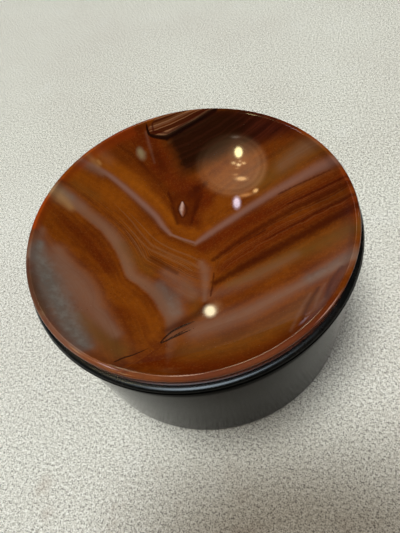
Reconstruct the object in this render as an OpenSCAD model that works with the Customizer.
// Agate mortar in a turned base, with its pestle lying beside it at +X.
// Origin: centre of the underside of the base's felt. +Z is up, the bowl's axis is Z.

/* [Mortar bowl] */
// Outer diameter of the bowl at its rim
bowl_d = 120; // [110:1:140]
// Depth of the spherical hollow below the rim
bowl_depth = 21; // [16:0.5:24]
// Height of the whole bowl, foot to rim
bowl_h = 36; // [34:0.5:38]
// Width of the flat ring on top of the rim
rim_w = 1.8; // [1:0.1:4]
// Width of the polished bevel between the rim and the hollow
rim_bevel = 0.5; // [0.2:0.1:1]
// Height of the upright band of stone that shows above the base
band_h = 4.8; // [3:0.1:6]
// Diameter of the flat foot under the bowl
foot_d = 68; // [56:1:76]

/* [Base] */
// Height of the rim above the surface the mortar stands on
total_h = 64.4; // [62:0.1:68]
// How far the bead stands out past the bowl's rim
bead_out = 2.0; // [1:0.1:3]
// Height of the bead round the mouth
bead_h = 3.3; // [2.5:0.1:4.5]
// Gap between the bowl's band and the top of the bead
bead_gap = 0.3; // [0.2:0.05:0.6]
// How far the wall stands out past the rim just under the bead
wall_top_out = 1.05; // [0.5:0.05:1.5]
// How far the wall stands out past the rim at the bottom
wall_foot_out = 1.6; // [1:0.1:3]
// Radial room between the bowl's belly and the socket
socket_gap = 1.6; // [1.2:0.1:2.2]

/* [Pads] */
// Thickness of the felt disc under the bowl's foot
cushion_t = 2.4; // [1.5:0.1:4]
// Height of the cork ring that centres the bowl
ring_h = 7; // [4:0.5:10]
// Thickness of the felt disc under the base
felt_t = 2.2; // [1.5:0.1:4]
// How far that felt stands out below the wood
felt_proud = 0.9; // [0.5:0.1:1.2]

/* [Pestle] */
// Length of the pestle, end to end
pestle_l = 122; // [100:1:135]
// Diameter of the grinding end
pestle_d = 32; // [26:0.5:34]
// Diameter of the grip end
grip_d = 25; // [21:0.5:27]
// Diameter of the waist
waist_d = 20.5; // [16:0.5:20.5]
// Distance from the bowl's axis to the pestle where it lies
pestle_x = 105; // [98:1:130]

/* [Hidden] */
$fn = 96;
turned_fn = 180; // bowl, base and cork ring
pad_fn = 120;    // felt discs

overlap = 0.001; // between joined or cut solids
cut_past = 0.01; // how far a cut runs past the face it opens

// Bowl: the hollow is a sphere through the mouth's edge and the lowest point
rim_r = bowl_d / 2;
rim_chamfer = 0.35;
mouth_r = rim_r - rim_w - rim_bevel;
hollow_top_z = total_h - rim_bevel;
hollow_depth = bowl_depth - rim_bevel;
hollow_r = (pow(mouth_r, 2) + pow(hollow_depth, 2)) / (2 * hollow_depth);
hollow_centre_z = total_h - bowl_depth + hollow_r;
band_z = total_h - band_h;
foot_z = total_h - bowl_h;
foot_r = foot_d / 2;

// The belly is a sphere through the shoulder under the band and the edge of the foot
shoulder_r = rim_r - 3.1;
shoulder_z = band_z - 0.6;
belly_centre_z = (pow(shoulder_r, 2) + pow(shoulder_z, 2) - pow(foot_r, 2) - pow(foot_z, 2))
  / (2 * (shoulder_z - foot_z));
belly_r = sqrt(pow(shoulder_r, 2) + pow(shoulder_z - belly_centre_z, 2));

// Base
bead_top_z = band_z - bead_gap;
bead_r = bead_h / 2;
wall_top_z = bead_top_z - bead_h;
wall_foot_r = rim_r + wall_foot_out;
wall_foot_chamfer = 0.8;
socket_floor_z = foot_z - cushion_t;
socket_mouth_r = shoulder_r + 0.7;
socket_mouth_z = bead_top_z - 3; // bottom of the straight mouth
mouth_chamfer = 0.5;

// Pads
felt_r = rim_r - 3;
rebate_side_gap = 0.2;
rebate_top_gap = 0.1;
rebate_cut = 1; // how far the rebate's cut starts below the wood
cushion_r = foot_r - 1.5;
cushion_gap = 0.05; // above and below
ring_gap = 0.1;     // inside and outside
ring_drop = 8;      // shoulder to the ring's top

// Pestle: heights are measured from the tip of the grinding end
grind_r = pestle_d / 2;
grip_r = grip_d / 2;
waist_r = waist_d / 2;
grind_z = 0.13 * pestle_l; // where the grinding end is widest
grip_z = 0.93 * pestle_l;  // where the grip end is widest
grip_span = grip_z - grind_z;
grip_steps = 24;
// Lying down, the pestle rests on both of its widest rings
lie_angle = atan((grind_r - grip_r) / grip_span);
pestle_lift = 0.02;

// Points [radius, z] on an elliptical arc about [centre_r, centre_z], both ends included
function arc(centre_r, centre_z, half_w, half_h, start, end, steps) = [
  for (i = [0:steps])
    let (angle = start + (end - start) * i / steps)
      [centre_r + half_w * cos(angle), centre_z + half_h * sin(angle)]
];

// Smooth step between two values as t goes from 0 to 1
function blend(from, to, t) = from + (to - from) * t * t * (3 - 2 * t);

// Pestle radius at t, from the grinding end's widest ring (0) to the grip's (1)
function pestle_r(t) =
  t < 0.5 ? blend(grind_r, waist_r, 2 * t) : blend(waist_r, grip_r, 2 * t - 1);

// Sphere of the belly, enlarged by a gap
module belly_ball(gap = 0) {
  translate([0, 0, belly_centre_z]) sphere(r = belly_r + gap, $fn = turned_fn);
}

// Cylinder on the bowl's axis, standing on height z
module disc(z, radius, height, facets = turned_fn) {
  translate([0, 0, z]) cylinder(r = radius, h = height, $fn = facets);
}

// Upright band, chamfered at its top and bottom edges, with the shoulder below
module bowl_band() {
  rotate_extrude($fn = turned_fn)
    polygon([ // [radius, z]
      [0, shoulder_z],
      [shoulder_r, shoulder_z],
      [shoulder_r + 0.4, band_z - 0.2],
      [rim_r - 0.8, band_z],
      [rim_r - 0.1, band_z + 0.6],
      [rim_r, total_h - rim_chamfer],
      [rim_r - rim_chamfer, total_h],
      [0, total_h]
    ]);
}

// Stone bowl: band and belly, less a spherical hollow
module mortar_bowl() {
  color("#8a4a1c")
  difference() {
    union() {
      bowl_band();
      // belly, cut level at the foot
      intersection() {
        belly_ball();
        disc(foot_z, rim_r, shoulder_z - foot_z + overlap);
      }
    }
    // hollow
    translate([0, 0, hollow_centre_z]) sphere(r = hollow_r, $fn = turned_fn);
    // bevel between rim and hollow
    translate([0, 0, hollow_top_z - overlap])
      cylinder(r1 = mouth_r, r2 = mouth_r + rim_bevel + cut_past,
               h = rim_bevel + cut_past + overlap, $fn = turned_fn);
  }
}

// Turned block: flared wall, bead at the mouth, socket for the belly, rebate underneath
module base_body() {
  color("#1a1a19")
  difference() {
    rotate_extrude($fn = turned_fn)
      polygon(concat(
        [
          [0, felt_proud],
          [wall_foot_r - wall_foot_chamfer, felt_proud],
          [wall_foot_r, felt_proud + wall_foot_chamfer],
          [rim_r + wall_top_out, wall_top_z - 0.5]
        ],
        arc(rim_r + bead_out - bead_r, wall_top_z + bead_r, bead_r, bead_r, -60, 90, 14),
        [
          [socket_mouth_r + mouth_chamfer, bead_top_z],
          [socket_mouth_r, bead_top_z - mouth_chamfer],
          [socket_mouth_r, socket_mouth_z],
          [0, socket_mouth_z]
        ]));
    // socket: a sphere with a level floor, opening into the straight mouth
    intersection() {
      belly_ball(socket_gap);
      disc(socket_floor_z, socket_mouth_r, socket_mouth_z - socket_floor_z + cut_past);
    }
    // rebate for the felt
    disc(felt_proud - rebate_cut, felt_r + rebate_side_gap,
         rebate_cut + felt_t - felt_proud + rebate_top_gap);
  }
}

// Cork band between the belly and the socket
module centring_ring() {
  color("#a9794a")
  intersection() {
    difference() {
      belly_ball(socket_gap - ring_gap);
      belly_ball(ring_gap);
    }
    disc(shoulder_z - ring_drop - ring_h, rim_r, ring_h);
  }
}

// Felt disc that carries the bowl's foot
module bowl_cushion() {
  color("#3d3c3a")
  disc(socket_floor_z + cushion_gap, cushion_r, cushion_t - 2 * cushion_gap, pad_fn);
}

// Felt disc in the rebate under the base
module base_felt() {
  color("#22211f")
  cylinder(r = felt_r, h = felt_t, $fn = pad_fn);
}

// The pestle standing on its grinding end, axis Z: two domed ends on a waisted grip
module pestle_upright() {
  rotate_extrude()
    polygon(concat(
      arc(0, grind_z, grind_r, grind_z, -90, 0, 16),
      [for (i = [1:grip_steps - 1])
        let (t = i / grip_steps) [pestle_r(t), grind_z + grip_span * t]],
      arc(0, grip_z, grip_r, pestle_l - grip_z, 0, 90, 12)));
}

// The pestle lies beside the mortar along Y, grinding end towards -Y
module pestle() {
  color("#8f5427")
  translate([pestle_x, grind_z - pestle_l / 2, grind_r * cos(lie_angle) + pestle_lift])
    rotate([-lie_angle, 0, 0])
      translate([0, -grind_z, 0])
        rotate([-90, 0, 0])
          pestle_upright();
}

mortar_bowl();
base_body();
centring_ring();
bowl_cushion();
base_felt();
pestle();
